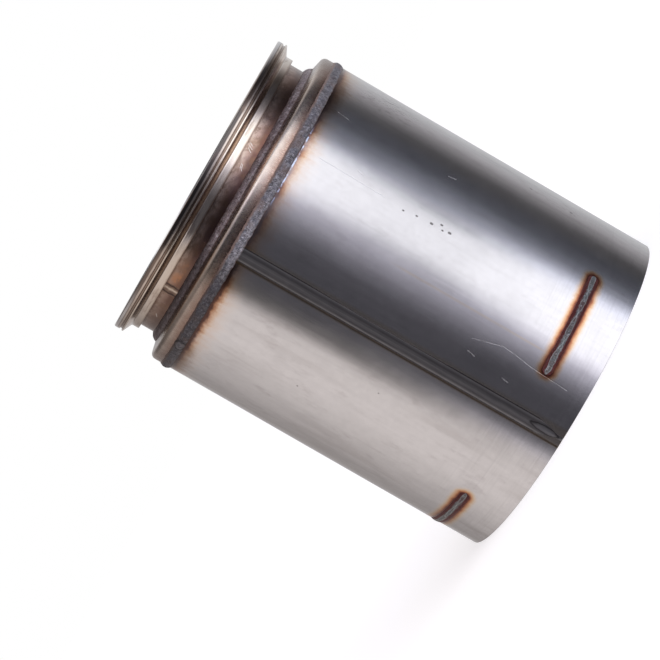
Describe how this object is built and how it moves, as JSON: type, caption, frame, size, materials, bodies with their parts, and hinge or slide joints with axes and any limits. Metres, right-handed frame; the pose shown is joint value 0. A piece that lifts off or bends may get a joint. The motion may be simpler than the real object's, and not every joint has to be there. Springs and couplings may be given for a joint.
{
  "type": "diesel particulate filter",
  "caption": "Round stainless filter canister with a clamp flange and stepped neck at the inlet, a plain outlet end, welded seams and a cemented ceramic wall-flow block inside.",
  "frame": {"origin": "centre of the outlet rim, in the plane that the canister stands on", "axes": "+Z along the gas axis from the outlet to the face of the inlet flange; -Y towards the side that the picture shows"},
  "size_m": [0.3036, 0.3036, 0.3675],
  "materials": {
    "shell_sheet": "satin rolled stainless sheet",
    "weld_bead": "as welded, grey oxide",
    "pressed_ring": "pressed stainless, heat tinted",
    "neck_sheet": "rolled stainless, brown heat tint",
    "turned_flange": "turned stainless",
    "wire_mesh": "knitted wire",
    "fibre_mat": "ceramic fibre mat",
    "ceramic_cement": "matt cement",
    "filter_ceramic": "matt porous ceramic"
  },
  "bodies": {
    "root": {"shell": "shell_sheet", "shell_seam_weld": "weld_bead", "stitch_weld_1": "weld_bead", "stitch_weld_2": "weld_bead", "stitch_weld_3": "weld_bead", "stitch_weld_4": "weld_bead", "shoulder_ring": "pressed_ring", "shoulder_weld": "weld_bead", "inlet_neck": "neck_sheet", "neck_seam_weld": "weld_bead", "neck_weld": "weld_bead", "inlet_flange": "turned_flange", "flange_weld": "weld_bead", "outlet_retaining_ring": "pressed_ring", "inlet_retaining_ring": "pressed_ring", "outlet_mesh_seal": "wire_mesh", "inlet_mesh_seal": "wire_mesh", "support_mat": "fibre_mat", "block_skin": "ceramic_cement", "segment_cement": "ceramic_cement", "segment_row_1": "filter_ceramic", "segment_row_2": "filter_ceramic", "segment_row_3": "filter_ceramic", "segment_row_4": "filter_ceramic", "segment_row_5": "filter_ceramic", "segment_row_6": "filter_ceramic", "segment_row_7": "filter_ceramic", "segment_row_8": "filter_ceramic"}
  },
  "joints": []
}
